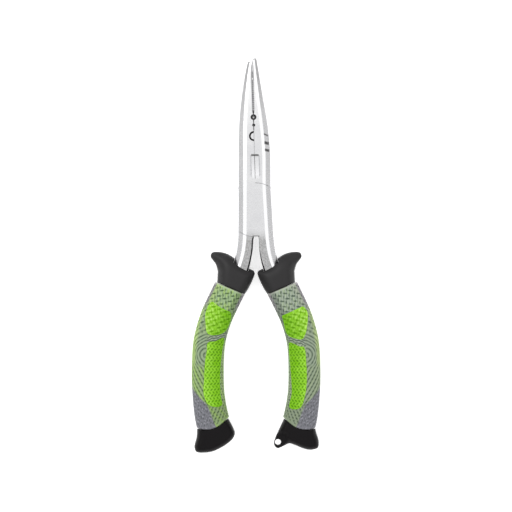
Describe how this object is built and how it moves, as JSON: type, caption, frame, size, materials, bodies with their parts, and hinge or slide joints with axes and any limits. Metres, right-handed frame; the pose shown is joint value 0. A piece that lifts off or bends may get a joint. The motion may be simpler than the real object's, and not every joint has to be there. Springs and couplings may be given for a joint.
{
  "type": "fishing pliers",
  "caption": "Long-nose fishing pliers with serrated jaws, a side cutter, a riveted lap joint and curved soft grips, one of them with a lanyard tab.",
  "frame": {"origin": "on the pivot axis at the back face of the lap joint", "axes": "+Y runs to the jaw tips, +Z is the thickness from the back face to the front face, and +X runs to the handle with the lanyard tab"},
  "size_m": [0.0751, 0.23, 0.0149],
  "materials": {
    "steel": "satin ground and polished stainless steel",
    "guard": "charcoal satin moulding with a fine grain",
    "core": "plain dark moulding",
    "grip_skin": "grey soft moulding with a raised basket weave",
    "end_cap": "near-black satin moulding",
    "pad": "lime green soft moulding with a raised basket weave"
  },
  "bodies": {
    "rear_assembly": {"rear_half": "steel", "pivot_rivet": "steel", "left_guard": "guard", "left_grip_core": "core", "left_grip_skin": "grip_skin", "left_end_cap": "end_cap", "left_pad_front_upper": "pad", "left_pad_back_upper": "pad", "left_pad_front_lower": "pad", "left_pad_back_lower": "pad"},
    "front_assembly": {"front_half": "steel", "right_guard": "guard", "right_grip_core": "core", "right_grip_skin": "grip_skin", "right_end_cap": "end_cap", "right_pad_front_upper": "pad", "right_pad_back_upper": "pad", "right_pad_front_lower": "pad", "right_pad_back_lower": "pad"}
  },
  "joints": [
    {"name": "jaw_pivot", "type": "hinge", "parent": "rear_assembly", "child": "front_assembly", "pos_m": [0, 0, 0.00525], "axis": [0, 0, 1], "range_deg": [0, 30]}
  ]
}
